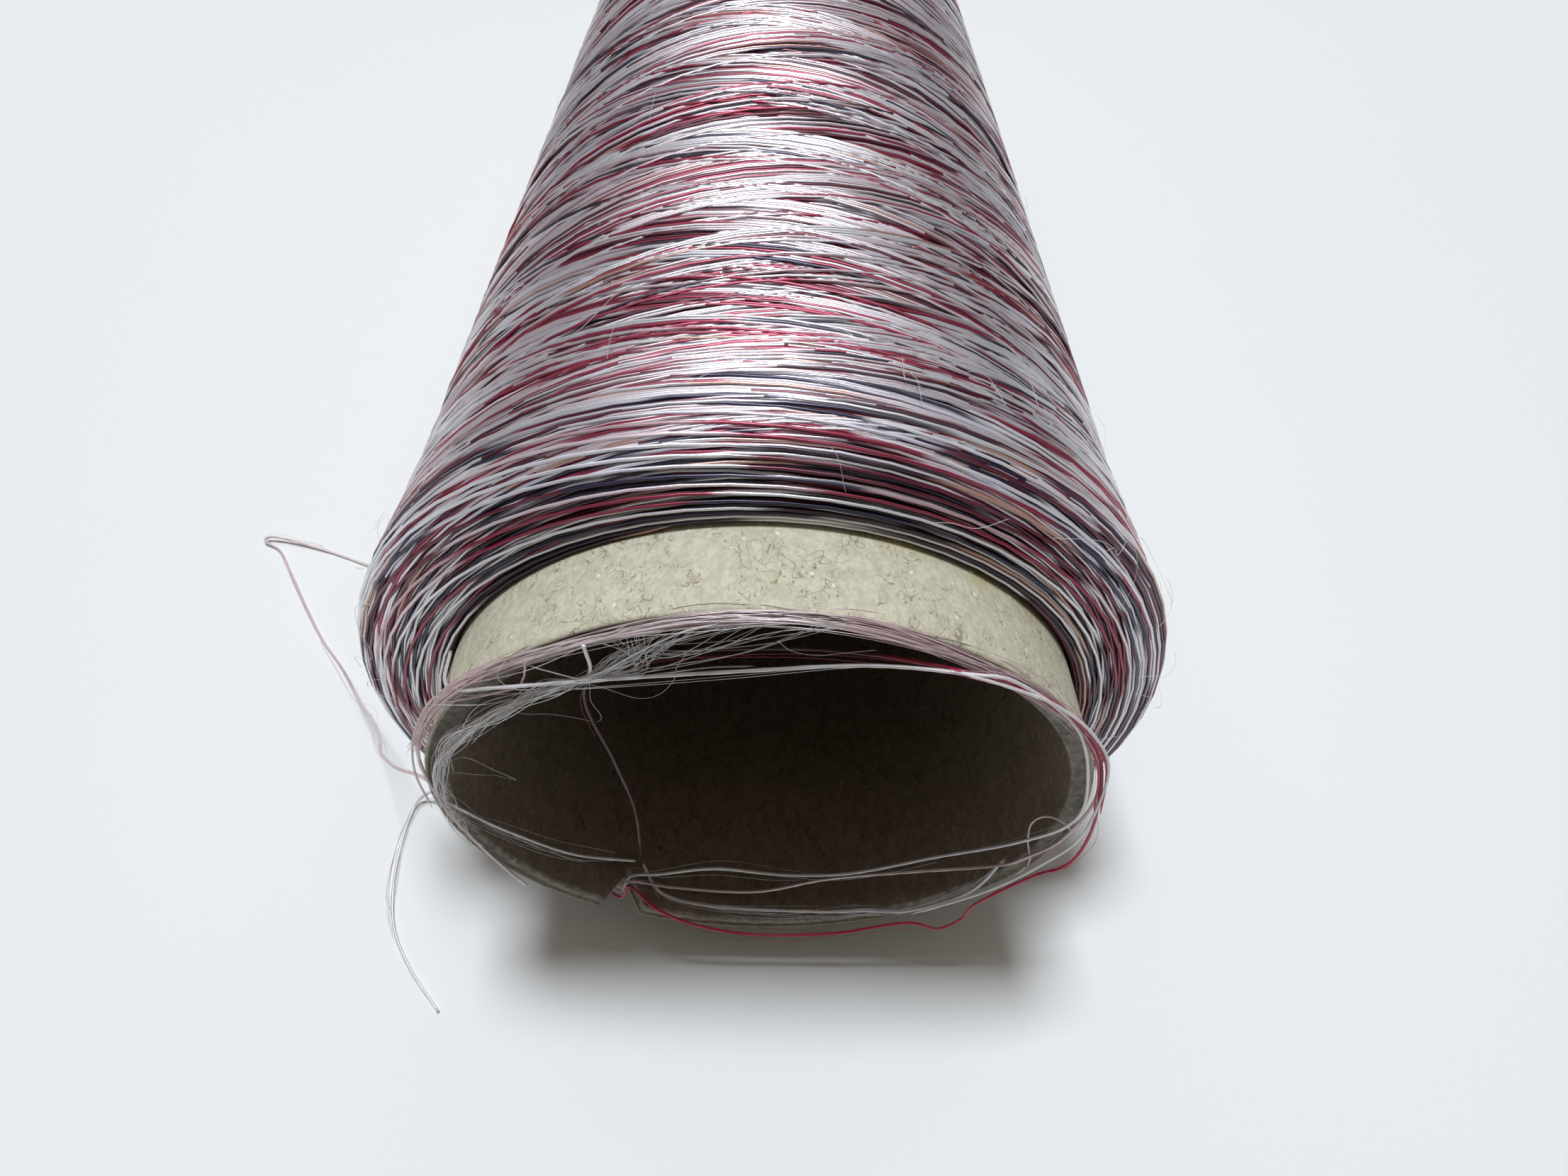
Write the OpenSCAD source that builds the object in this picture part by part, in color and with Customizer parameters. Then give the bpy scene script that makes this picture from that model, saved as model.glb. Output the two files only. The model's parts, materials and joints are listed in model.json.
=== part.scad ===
// Coned yarn: a paper cone wound with fine space-dyed yarn, lying on its side.
// Millimetres, +Z up, standing on Z = 0, the wide rim towards -Y and the nose towards +Y.

/* [Paper cone] */
// Length of the cone along its own axis
cone_len = 170; // [140:1:200]
// Outside diameter at the wide base rim
base_d = 69; // [62:0.5:76]
// Half angle of the cone's taper, in degrees
half_angle = 5.95; // [4:0.05:7]
// Thickness of the wound grey board
wall = 2.3; // [1.6:0.1:2.8]
// Rounding of the rim's two worn edges
rim_round = 0.4; // [0.2:0.05:0.7]
// Rounding outside the burnished nose
nose_round = 1.3; // [0.6:0.1:1.5]
// How far the nose is rolled in from the cone's inner wall
nose_roll = 0.47; // [0.3:0.01:1]
// Length of the straight throat that the roll leaves
nose_land = 4; // [3:0.5:8]

/* [Transfer notch] */
// Width of the V notch at the rim
notch_w = 5.5; // [3:0.5:8]
// Depth of the V notch along the cone
notch_depth = 4.2; // [2:0.2:7]
// Place of the notch round the rim, in degrees from its lowest point towards -X
notch_angle = 31; // [25:1:37]

/* [Yarn package] */
// Bare collar of board between the rim and the yarn
collar = 9.6; // [7:0.1:14]
// Bare board at the nose
nose_bare = 10.4; // [7:0.1:16]
// Height of the yarn over the board at the base shoulder
base_build = 11.1; // [8:0.1:14]
// Height of the yarn over the board at the nose shoulder
nose_build = 9.7; // [7:0.1:12]
// How far the yarn leans back from its base end face to the shoulder
base_lean = 5.4; // [4:0.1:8]
// How far the yarn leans in at its nose end face
nose_lean = 4.6; // [4:0.1:8]
// Extra fullness of the package just behind the base shoulder
bulge = 1; // [0.2:0.1:1.5]
// Length over which that fullness runs out
bulge_len = 17; // [10:1:30]
// Depth of the flat that the package's weight presses underneath
flat_depth = 0.5; // [0.4:0.1:0.7]

/* [Outer layer] */
// Turns drawn for the outer layer
turns = 24; // [12:1:24]
// Width of each drawn turn
turn_w = 5.4; // [4:0.1:5.6]
// Thickness of each drawn turn
turn_t = 1.2; // [1:0.1:1.6]

/* [Yarn tails] */
// Diameter of a single yarn
yarn_d = 0.4; // [0.3:0.05:0.6]

/* [Hidden] */
$fn = 96;

board_colour = [0.66, 0.63, 0.54];
core_colour = [0.50, 0.36, 0.42];
yarn_colour = [0.72, 0.62, 0.65];
white_yarn = [0.86, 0.85, 0.85];
pink_yarn = [0.82, 0.66, 0.66];
crimson_yarn = [0.55, 0.06, 0.16];

seat = 0.15;             // clearance between yarn and what it is wound on
root_gap = 0.4;          // room between the first and last turns and the board
arc_steps = 9;           // points on each rounded end of the package
ring_steps = 24;         // rings in each turn of the outer layer
tail_sides = 8;          // sides of a tail's tube

// ---- the cone's taper ----
slope = tan(half_angle);
wall_r = wall / cos(half_angle);
function board_r(s) = base_d / 2 - s * slope;
function bore_r(s) = board_r(s) - wall_r;
nose_r = board_r(cone_len);
throat_r = bore_r(cone_len) - nose_roll;
throat_flare = 3;        // length over which the throat opens to the inner wall

// ---- the package's profile, as [distance from the rim, radius] ----
yarn_end = cone_len - nose_bare;
base_s = collar + base_lean;
nose_s = yarn_end - nose_lean;
base_sh_r = board_r(base_s) + base_build;
nose_sh_r = board_r(nose_s) + nose_build;
base_root_r = board_r(collar) + seat;
nose_root_r = board_r(yarn_end) + seat;
body_slope = (base_sh_r - bulge - nose_sh_r) / (nose_s - base_s);
bulge_s = base_s + bulge_len;

base_arc = [for (i = [0 : arc_steps]) let (a = 90 * i / arc_steps)
    [collar + base_lean * (1 - cos(a)), base_root_r + (base_sh_r - base_root_r) * sin(a)]];
nose_arc = [for (i = [0 : arc_steps]) let (a = 90 * i / arc_steps)
    [nose_s + nose_lean * sin(a), nose_root_r + (nose_sh_r - nose_root_r) * cos(a)]];
profile = concat(base_arc, [[bulge_s, nose_sh_r + body_slope * (nose_s - bulge_s)]], nose_arc);
last = len(profile) - 1;

// Distance along the profile up to each of its points
function run(i) = i == 0 ? 0 : run(i - 1) + norm(profile[i] - profile[i - 1]);
runs = [for (i = [0 : last]) run(i)];
// Direction in which the profile heads at each point, in degrees from the cone's axis
headings = [for (i = [0 : last])
    let (d = profile[min(i + 1, last)] - profile[max(i - 1, 0)]) atan2(d[1], d[0])];
s_table = [for (i = [0 : last]) [runs[i], profile[i][0]]];
r_table = [for (i = [0 : last]) [runs[i], profile[i][1]]];
heading_table = [for (i = [0 : last]) [runs[i], headings[i]]];
function package_at(l) = [lookup(l, s_table), lookup(l, r_table)];
function along(l) = let (h = lookup(l, heading_table)) [cos(h), sin(h)];
function outward(l) = let (h = lookup(l, heading_table)) [-sin(h), cos(h)];

// ---- how it lies: both shoulders touch the table ----
tilt = atan((base_sh_r - nose_sh_r) / (nose_s - base_s));
rim_z = base_s * sin(tilt) + base_sh_r * cos(tilt) - flat_depth;
back_y = cone_len * cos(tilt) + (nose_r - nose_round) * sin(tilt);
front_y = -(base_d / 2 - rim_round) * sin(tilt);
rim_y = -(back_y + front_y) / 2;

// Sets what is drawn about the cone's axis (+Z from rim to nose) down in its lying place
module lying() translate([0, rim_y, rim_z]) rotate([-90 - tilt, 0, 0]) children();

// A place given by its angle from +X towards the top, its radius and its depth from the rim
function placed(angle, r, s) = [
    r * cos(angle),
    rim_y + s * cos(tilt) + r * sin(angle) * sin(tilt),
    rim_z - s * sin(tilt) + r * sin(angle) * cos(tilt)
];

// ---- paper cone ----
function arc(centre, r, from, to, steps = 5) = [for (i = [0 : steps])
    let (a = from + (to - from) * i / steps) centre + r * [cos(a), sin(a)]];

module cone_wall() rotate_extrude() polygon(concat(
    arc([base_d / 2 - rim_round, rim_round], rim_round, 0, -90),
    arc([bore_r(0) + rim_round, rim_round], rim_round, 270, 180),
    [[bore_r(cone_len - nose_land - throat_flare), cone_len - nose_land - throat_flare]],
    [[throat_r, cone_len - nose_land]],
    arc([throat_r + nose_round / 2, cone_len - nose_round / 2], nose_round / 2, 180, 90),
    arc([nose_r - nose_round, cone_len - nose_round], nose_round, 90, 0)
));

module notch_cutter() rotate([0, 0, 90 + notch_angle]) translate([0, 0, -notch_depth])
    rotate([90, 0, 90]) linear_extrude(base_d)
        polygon([[-notch_w, 0], [notch_w, 0], [0, notch_depth * 2]]);

module paper_cone() color(board_colour) lying() difference() {
    cone_wall();
    notch_cutter();
}

// ---- yarn core: the inner layers, one plain solid ----
chord = cos(180 / ring_steps);       // how far a turn's straight runs cut inside its radius
core_depth = turn_t + seat;
function core_point(l) =
    let (p = package_at(l) - core_depth * outward(l)) [p[0], max(p[1] * chord, board_r(p[0]) + seat)];

module yarn_core() color(core_colour) lying() rotate_extrude() polygon([
    for (i = [0 : last]) let (p = core_point(runs[i])) [p[1], p[0]],
    [board_r(yarn_end - core_depth) + seat, yarn_end - core_depth],
    [board_r(collar + core_depth) + seat, collar + core_depth]
]);

// ---- outer layer: one unbroken turn after turn, from the base root to the nose root ----
pitch = (runs[last] - turn_w - 2 * root_gap) / turns;
first_run = turn_w / 2 + root_gap;
start_angle = 100;       // where the first turn begins, on the side away from the notch's mouth
// Section of a turn: flat against the core and flat outside
section = [[0.5, -0.5], [0.25, -1], [-0.25, -1], [-0.5, -0.5], [-0.25, 0], [0.25, 0]];
outside = [4, 5];        // the section's points that lie on the package's surface

function turn_ring(i) = let (
    l = first_run + pitch * i / ring_steps,
    p = package_at(l), w = turn_w * along(l), t = turn_t * outward(l),
    a = start_angle + 360 * i / ring_steps
) [for (c = section) let (q = p + c[0] * w + c[1] * t) [q[1] * cos(a), q[1] * sin(a), q[0]]];

wound = [for (i = [0 : turns * ring_steps]) turn_ring(i)];
// Each end runs on straight for one width of the turn
function run_on(ring, next) =
    let (d = ring[outside[0]] - next[outside[0]]) [for (p = ring) p + d / norm(d) * turn_w];
winding_rings = concat(
    [run_on(wound[0], wound[1])], wound, [run_on(wound[len(wound) - 1], wound[len(wound) - 2])]
);

// Least distance between the points of neighbouring turns
turn_gap = min([for (i = [0 : len(wound) - ring_steps - 2], j = [-1 : 1])
    if (i + ring_steps + j > 0) min([for (p = wound[i], q = wound[i + ring_steps + j]) norm(p - q)])]);

// Skin of triangles over a row of rings, with both ends closed
module skin(rings) {
    sides = len(rings[0]);
    top = len(rings) - 1;
    polyhedron([for (ring = rings, p = ring) p], concat(
        [for (i = [0 : top - 1], k = [0 : sides - 1]) let (n = (k + 1) % sides)
            [i * sides + k, i * sides + n, (i + 1) * sides + k]],
        [for (i = [0 : top - 1], k = [0 : sides - 1]) let (n = (k + 1) % sides)
            [i * sides + n, (i + 1) * sides + n, (i + 1) * sides + k]],
        [for (k = [1 : sides - 2]) [0, k + 1, k]],
        [for (k = [1 : sides - 2]) [top * sides, top * sides + k, top * sides + k + 1]]
    ));
}

module outer_winding() color(yarn_colour) {
    echo(least_gap_between_turns = turn_gap);
    difference() {
        lying() skin(winding_rings);
        translate([-base_d, -cone_len, -base_d]) cube([2 * base_d, 2 * cone_len, base_d]);
    }
}

// ---- yarn tails: routes as [angle, radius beyond the rim's, depth from the rim] ----
function rim_route(points) = [for (p = points) placed(p[0], base_d / 2 + p[1], p[2])];

white_chord_route = rim_route([
    [222, -0.5, 9], [231, -0.3, 6.2], [239, 0.4, 3.3], [239, -3.3, 3.3], [244, -6.5, 2.9],
    [256, -11.5, 2.4], [277, -11.5, 1.9], [297, -11, 1.4], [323, -9.5, 0.8], [342, -5, -0.2],
    [356, -1.5, -1.2], [370, -0.8, -1.4], [390, 0.4, -1.4], [407, 0.2, -1.4], [415, -1.6, -1.4],
    [430, -5.2, -1], [453, -8.4, -0.8], [478, -6.4, -1], [495, -1.3, -1.2], [501, 0.6, -0.6],
    [509, 0.4, 3], [516, -0.4, 9]
]);
pink_wrap_route = rim_route([
    [218, -0.5, 9], [229, -0.2, 5.7], [239, 0.4, 2.7], [239, -3, 2.7], [249, -4, 2.6],
    [268, -6, 2.2], [288, -9.6, 1.8], [311, -8.5, 1], [330, -3.6, 0], [338, -2.2, -0.4],
    [348, -0.5, -0.4], [366, 0.5, -0.4], [386, 0.3, -0.4], [404, -0.7, -0.4], [433, -0.9, -0.4],
    [458, -1.2, -0.4], [485, -0.9, -0.4], [504, 0.5, -0.4], [522, 0.7, -0.4], [541, -1, -0.4],
    [557, -1.4, -0.4], [571, -0.4, -0.4], [578, 0.8, -0.3]
]);
crimson_route = rim_route([
    [214, -0.4, 9], [227, 0, 5], [239, 0.5, 2], [239, -3, 2], [246, -3.4, -0.4],
    [257, -1.2, -0.8], [270, 0.3, -0.8], [285, 0.6, -0.8], [300, 0.6, -0.8], [304, 4.2, -0.8],
    [310, 3.2, -0.8], [316, 0.8, -0.8], [332, 0.6, -0.8], [338, 2.3, -0.8], [346, 2, -0.8],
    [360, 0.8, -0.9], [380, 0.8, -0.9], [400, 0.2, -0.9], [418, -2.4, -0.9], [440, -8.5, 2],
    [472, -8.5, 2], [492, -10, 2], [530, -19, 3], [575, -17, 4], [597, -7.5, 4.4]
]);
white_lower_route = rim_route([
    [241, -3.8, 5], [247, -2.9, 2], [259, -2.8, 1.3], [281, -2.8, 0.8], [293, -2.8, 0.2],
    [303, -1.6, -0.4], [318, -1.6, -0.4], [332, -3.1, 0.5]
]);
white_left_route = rim_route([
    [116, -0.9, -0.9], [122, -5.7, -0.6], [137, -4.6, -0.4], [151, -3.4, -0.8], [164, -1.4, -0.9],
    [176, -1.3, -0.9], [185, -3.1, -0.4], [202, -4.2, 1.4], [222, -4.4, 3], [238, -5, 4.5]
]);

// Routes off the cone, as [across, back from the rim's centre, height]
function table_route(points) = [for (p = points) [p[0], rim_y + p[1], p[2]]];

loop_route = table_route([
    [-34.7, 1, 47], [-37, 3, 43.5], [-41, 6, 38], [-45.5, 11, 30], [-49, 16.5, 21],
    [-53.5, 23.5, 12], [-58.5, 30, 4], [-63, 36.5, 0.5], [-67, 41.5, 0.3], [-70.5, 47, 0.3],
    [-74, 53, 0.3], [-76.5, 57, 0.4], [-79, 58.5, 0.6], [-77, 59, 1], [-69, 57, 0.3],
    [-58, 53, 0.3], [-46, 50, 1], [-37.5, 47, 10], [-36, 46, 24]
]);
tip_route = table_route([
    [-35.4, 14, 18], [-42, 15.5, 8], [-48, 16.5, 1.5], [-50, 12.5, 0.3], [-50.5, 5, 0.3],
    [-49.5, -1.5, 0.3], [-46.5, -7, 0.3], [-42, -12.5, 0.3]
]);

function unit(v) = v / norm(v);
function heading(route, i) = unit(route[min(i + 1, len(route) - 1)] - route[max(i - 1, 0)]);
// Side direction carried along the route without twisting
function sideways(route, i) = let (
    t = heading(route, i),
    v = i == 0 ? cross(t, [0.31, 0.17, 0.94]) : sideways(route, i - 1)
) unit(v - (v * t) * t);

module tail(route, colour) color(colour) skin([for (i = [0 : len(route) - 1]) let (
    u = sideways(route, i), v = cross(u, heading(route, i))
) [for (k = [0 : tail_sides - 1]) let (a = 360 * k / tail_sides)
    route[i] + yarn_d / 2 * (cos(a) * u + sin(a) * v)]]);

module tail_white_chord() tail(white_chord_route, white_yarn);
module tail_pink_wrap() tail(pink_wrap_route, pink_yarn);
module tail_crimson() tail(crimson_route, crimson_yarn);
module tail_white_lower() tail(white_lower_route, white_yarn);
module tail_white_left() tail(white_left_route, white_yarn);
module running_end_loop() tail(loop_route, pink_yarn);
module running_end_tip() tail(tip_route, white_yarn);

paper_cone();
yarn_core();
outer_winding();
tail_white_chord();
tail_pink_wrap();
tail_crimson();
tail_white_lower();
tail_white_left();
running_end_loop();
running_end_tip();
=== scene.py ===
"""Coned yarn: a grey board cone wound with fine space-dyed yarn, lying on its side on a white table."""

import json
import math

import bpy
import numpy as np
from mathutils import Matrix, Vector


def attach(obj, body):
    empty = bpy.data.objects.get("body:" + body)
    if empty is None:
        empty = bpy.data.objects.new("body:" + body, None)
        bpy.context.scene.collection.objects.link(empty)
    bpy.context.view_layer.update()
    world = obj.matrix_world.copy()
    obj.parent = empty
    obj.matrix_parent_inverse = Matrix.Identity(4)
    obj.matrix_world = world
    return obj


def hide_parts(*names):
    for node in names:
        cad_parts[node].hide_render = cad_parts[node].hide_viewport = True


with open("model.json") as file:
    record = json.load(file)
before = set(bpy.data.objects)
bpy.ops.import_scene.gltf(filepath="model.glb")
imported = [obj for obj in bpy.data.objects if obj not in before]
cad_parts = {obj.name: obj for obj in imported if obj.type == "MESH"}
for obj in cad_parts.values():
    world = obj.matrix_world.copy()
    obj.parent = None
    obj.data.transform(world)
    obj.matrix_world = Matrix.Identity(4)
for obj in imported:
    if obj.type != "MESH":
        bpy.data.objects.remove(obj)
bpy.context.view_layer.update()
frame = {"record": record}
MM = 0.001

# ---------------------------------------------------------------------------
# Paper cone. A tapered tube of glued grey board, rolled over and burnished at the nose.
# A V notch is cut in its wide rim to catch the yarn's end, and handling has left the
# rim's edge soft and a little wavy.
# ---------------------------------------------------------------------------
CONE_LENGTH = 170 * MM
RIM_RADIUS = 34.5 * MM
HALF_ANGLE = math.radians(5.95)
TAPER = math.tan(HALF_ANGLE)
WALL = 2.3 * MM / math.cos(HALF_ANGLE)
LIP = 0.4 * MM
NOSE_ROUND = 1.3 * MM
THROAT_RADIUS = 14.0 * MM
THROAT_LAND = 4 * MM
THROAT_FLARE = 3 * MM
NOTCH_ANGLE = math.radians(239)
NOTCH_WIDTH = 5.5 * MM
NOTCH_DEPTH = 4.2 * MM
ROUND_COLUMNS = 361
NOTCH_COLUMNS = 13
RIM_WAVE = 0.10 * MM
RIM_NICKS = 0.03 * MM
OVALITY = 0.12 * MM
FLAP_LIFT = 0.35 * MM
FLAP_SPREAD = math.radians(7)
BENT_LENGTH = 7 * MM

mounts = {mount["name"]: mount for mount in frame["record"]["mounts"]}
rim_centre = np.array(mounts["tapered_seat"]["pos_m"])
along_cone = -np.array(mounts["tapered_seat"]["axis"])
along_cone /= np.linalg.norm(along_cone)
across_cone = np.array([1.0, 0.0, 0.0])
up_cone = np.cross(across_cone, along_cone)


def radial(angle):
    """Unit vectors out from the cone's axis, for angles in radians from +X towards the top."""
    angle = np.asarray(angle)[..., None]
    return np.cos(angle) * across_cone + np.sin(angle) * up_cone


def placed(angle, radius, depth):
    """Places on the lying cone: angle in radians, radius, and depth from the rim."""
    radius, depth = np.asarray(radius)[..., None], np.asarray(depth)[..., None]
    return rim_centre + radial(angle) * radius + along_cone * depth


def board_radius(depth):
    return RIM_RADIUS - TAPER * depth


def ripple(angle, waves, seed):
    """A gentle wave round the cone, between about -1 and 1."""
    phases = np.random.default_rng(seed).uniform(0, math.tau, len(waves))
    return sum(np.sin(w * angle + p) for w, p in zip(waves, phases)) / len(waves)


def arc(start, end, steps):
    """Even angles in radians, from a start and an end in degrees."""
    return np.radians(np.linspace(start, end, steps))


OUTSIDE, CUT, INSIDE = range(3)

# Depths of the section's points in mm: close together near the rim, wide apart, close at the nose
RIM_END = 12
RIM_STEPS = np.arange(1.0, RIM_END, 0.6)
PLAIN_STEPS = np.arange(14, 158, 6)
NOSE_STEPS = np.arange(159, 168.5, 1)


def board_section(start, wear):
    """Depth and radius round the wall's section, and which of its surfaces each point is on.
    It starts at the rim or at the notch's edge, and wear moves its end face."""
    squeezed = start + RIM_STEPS * MM * (1 - start / (RIM_END * MM))
    outer_depths = np.concatenate([squeezed, PLAIN_STEPS * MM, NOSE_STEPS * MM])
    lip = arc(0, 90, 5)
    nose_angles = arc(0, 90, 6)
    throat_angles = arc(90, 180, 5)
    outer_lip = board_radius(start)
    inner_lip = outer_lip - WALL
    nose_rim = board_radius(CONE_LENGTH)
    roll = NOSE_ROUND / 2
    rows = [
        (start + LIP * (1 - np.sin(lip)), outer_lip - LIP * (1 - np.cos(lip)), OUTSIDE),
        (outer_depths, board_radius(outer_depths), OUTSIDE),
        (
            CONE_LENGTH - NOSE_ROUND * (1 - np.sin(nose_angles)),
            nose_rim - NOSE_ROUND * (1 - np.cos(nose_angles)),
            OUTSIDE,
        ),
        (
            CONE_LENGTH - roll * (1 - np.sin(throat_angles)),
            THROAT_RADIUS + roll * (1 + np.cos(throat_angles)),
            OUTSIDE,
        ),
    ]
    inner_depths = np.r_[CONE_LENGTH - THROAT_LAND, CONE_LENGTH - THROAT_LAND - THROAT_FLARE]
    inner_radii = np.r_[THROAT_RADIUS, board_radius(inner_depths[1]) - WALL]
    rows.append((inner_depths, inner_radii, INSIDE))
    back = outer_depths[outer_depths < inner_depths[1] - 1 * MM][::-1]
    rows.append((back, board_radius(back) - WALL, INSIDE))
    rows.append((start + LIP * (1 - np.sin(lip)), inner_lip + LIP * (1 - np.cos(lip)), CUT))
    depth = np.concatenate([row[0] for row in rows])
    radius = np.concatenate([row[1] for row in rows])
    surface = np.concatenate([np.full(len(row[0]), row[2]) for row in rows])
    on_end_face = depth < start + 1.1 * LIP
    return depth + wear * on_end_face, radius, surface


def mesh_piece(name, points, faces, materials):
    """A smooth mesh object of those faces."""
    mesh = bpy.data.meshes.new(name)
    mesh.from_pydata(np.asarray(points).tolist(), [], faces)
    for material in materials:
        mesh.materials.append(material)
    mesh.polygons.foreach_set("use_smooth", [True] * len(mesh.polygons))
    piece = bpy.data.objects.new(name, mesh)
    bpy.context.scene.collection.objects.link(piece)
    return piece


def new_material(name):
    """A material with a Principled shader. Returns the material, its nodes and that shader."""
    material = bpy.data.materials.new(name)
    material.use_nodes = True
    return material, material.node_tree, material.node_tree.nodes["Principled BSDF"]


def add(tree, kind, inputs=(), **settings):
    """A node of that kind, its inputs given as numbers, colours or other nodes' outputs."""
    made = tree.nodes.new("ShaderNode" + kind)
    for name, value in settings.items():
        setattr(made, name, value)
    for name, value in dict(inputs).items():
        if isinstance(value, bpy.types.NodeSocket):
            tree.links.new(value, made.inputs[name])
        else:
            made.inputs[name].default_value = value
    return made


def maths(tree, operation, first, second=0.5, third=0.5):
    values = {0: first, 1: second, 2: third}
    return add(tree, "Math", values, operation=operation).outputs[0]


def mixed(tree, factor, first, second):
    """A colour between two others."""
    made = add(tree, "Mix", {"Factor": factor}, data_type="RGBA")
    for socket, value in ((made.inputs[6], first), (made.inputs[7], second)):
        if isinstance(value, bpy.types.NodeSocket):
            tree.links.new(value, socket)
        else:
            socket.default_value = (*value, 1)
    return made.outputs[2]


def between(tree, value, low, high):
    """1 where the value is past high, 0 on low's side, and smooth in between."""
    limits = {"Value": value, "From Min": low, "From Max": high}
    return add(tree, "MapRange", limits, interpolation_type="SMOOTHSTEP").outputs["Result"]


def board_fibres_group():
    """Recycled board: dark flecks, pale specks, curled hairs, a fine grain and a cloudy pulp.
    Scales are in spots or waves to the metre."""
    group = bpy.data.node_groups.new("board fibres", "ShaderNodeTree")
    group.interface.new_socket("Place", in_out="INPUT", socket_type="NodeSocketVector")
    for output in ("Flecks", "Specks", "Hairs", "Grain", "Pulp", "Height"):
        group.interface.new_socket(output, in_out="OUTPUT", socket_type="NodeSocketFloat")
    place = group.nodes.new("NodeGroupInput").outputs["Place"]
    result = group.nodes.new("NodeGroupOutput")
    drawn_out = add(group, "Mapping", {"Vector": place, "Scale": (1.0, 0.75, 1.0)}).outputs[0]

    def noise(scale, detail=2.0, distortion=0.0):
        values = {"Vector": drawn_out, "Scale": scale, "Detail": detail, "Distortion": distortion}
        return add(group, "TexNoise", values).outputs["Fac"]

    def dots(scale, chosen, size):
        """Small spots, one in each chosen cell."""
        cells = add(group, "TexVoronoi", {"Vector": place, "Scale": scale})
        lot = add(group, "SeparateColor", {"Color": cells.outputs["Color"]}).outputs["Red"]
        spot = between(group, cells.outputs["Distance"], size, size * 0.4)
        return maths(group, "MULTIPLY", between(group, lot, chosen, chosen + 0.01), spot)

    def curls(scale, width, where):
        """Thin curled lines, broken into short hairs."""
        ridge = maths(group, "ABSOLUTE", maths(group, "SUBTRACT", noise(scale, 1.0, 1.5), 0.5))
        line = between(group, ridge, width, width * 0.3)
        return maths(group, "MULTIPLY", line, between(group, noise(where, 1.0), 0.50, 0.58))

    hairs = maths(group, "MAXIMUM", curls(430, 0.015, 300), curls(760, 0.018, 420))
    grain = noise(2300, 4.0)
    pulp = noise(900, 5.0)
    outputs = {
        "Flecks": dots(760, 0.955, 0.20),
        "Specks": dots(1000, 0.86, 0.30),
        "Hairs": hairs,
        "Grain": grain,
        "Pulp": pulp,
        "Height": maths(group, "ADD", maths(group, "MULTIPLY_ADD", hairs, 0.5, grain), pulp),
    }
    for name, value in outputs.items():
        group.links.new(value, result.inputs[name])
    return group


board_fibres = board_fibres_group()
OLD_GLUE = (0.45, 0.38, 0.15)
PALE_SPECK = (0.85, 0.83, 0.76)
DARK_FLECK = (0.09, 0.08, 0.06)
HAIR_TONE = (0.36, 0.29, 0.20)
FIBRES_SHOWN = 0.7


def board_material(name, base, shade, specks, stains, roughness):
    """Board in two tones, flecked and haired, with that much of its pale specks and stains."""
    material, tree, shader = new_material(name)
    place = add(tree, "TexCoord").outputs["Object"]
    fibres = tree.nodes.new("ShaderNodeGroup")
    fibres.node_tree = board_fibres
    tree.links.new(place, fibres.inputs["Place"])
    colour = mixed(tree, between(tree, fibres.outputs["Pulp"], 0.38, 0.60), shade, base)
    dark_base = tuple(0.70 * part for part in base)
    grainy = maths(tree, "MULTIPLY", between(tree, fibres.outputs["Grain"], 0.60, 0.36), 0.5)
    colour = mixed(tree, grainy, colour, dark_base)
    blots = add(tree, "TexNoise", {"Vector": place, "Scale": 62.0, "Detail": 3.0}).outputs["Fac"]
    stained = maths(tree, "MULTIPLY", between(tree, blots, 0.60, 0.72), stains)
    colour = mixed(tree, stained, colour, OLD_GLUE)
    hair_colour = tuple(tone * part for tone, part in zip(HAIR_TONE, base))
    fibre_looks = (
        ("Specks", specks, PALE_SPECK),
        ("Hairs", FIBRES_SHOWN, hair_colour),
        ("Flecks", FIBRES_SHOWN, DARK_FLECK),
    )
    for kind, strength, tone in fibre_looks:
        shown = maths(tree, "MULTIPLY", fibres.outputs[kind], strength)
        colour = mixed(tree, shown, colour, tone)
    tree.links.new(colour, shader.inputs["Base Color"])
    relief = {"Height": fibres.outputs["Height"], "Strength": 0.7, "Distance": 0.08 * MM}
    tree.links.new(add(tree, "Bump", relief).outputs["Normal"], shader.inputs["Normal"])
    shader.inputs["Roughness"].default_value = roughness
    shader.inputs["Specular IOR Level"].default_value = 0.25
    return material


board_outside = board_material(
    "grey board face", (0.63, 0.60, 0.455), (0.54, 0.51, 0.375), specks=0.8, stains=0.6, roughness=0.86
)
board_cut = board_material(
    "cut board", (0.36, 0.33, 0.28), (0.22, 0.20, 0.17), specks=0.2, stains=0.0, roughness=0.93
)
board_inside = board_material(
    "bare board inside", (0.25, 0.19, 0.14), (0.20, 0.15, 0.105), specks=0.12, stains=0.0, roughness=0.9
)

# Columns round the cone, closer together at the notch and exactly on its corners
half_notch = NOTCH_WIDTH / 2 / RIM_RADIUS
plain_columns = NOTCH_ANGLE + half_notch + np.linspace(0, math.tau - 2 * half_notch, ROUND_COLUMNS)
notch_columns = NOTCH_ANGLE + half_notch * np.linspace(-1, 1, NOTCH_COLUMNS)[1:-1]
columns = np.concatenate([plain_columns, notch_columns + math.tau])
from_notch = (columns - NOTCH_ANGLE + math.pi) % math.tau - math.pi
notch_start = NOTCH_DEPTH * np.clip(1 - np.abs(from_notch) / half_notch, 0, 1)
rim_wear = RIM_WAVE * ripple(columns, (2, 5, 9, 14), 1) + RIM_NICKS * ripple(columns, (37, 61, 83), 2)

sections = [board_section(start, wear) for start, wear in zip(notch_start, rim_wear)]
section_size = len(sections[0][0])
depths = np.array([section[0] for section in sections])
radii = np.array([section[1] for section in sections])

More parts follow.
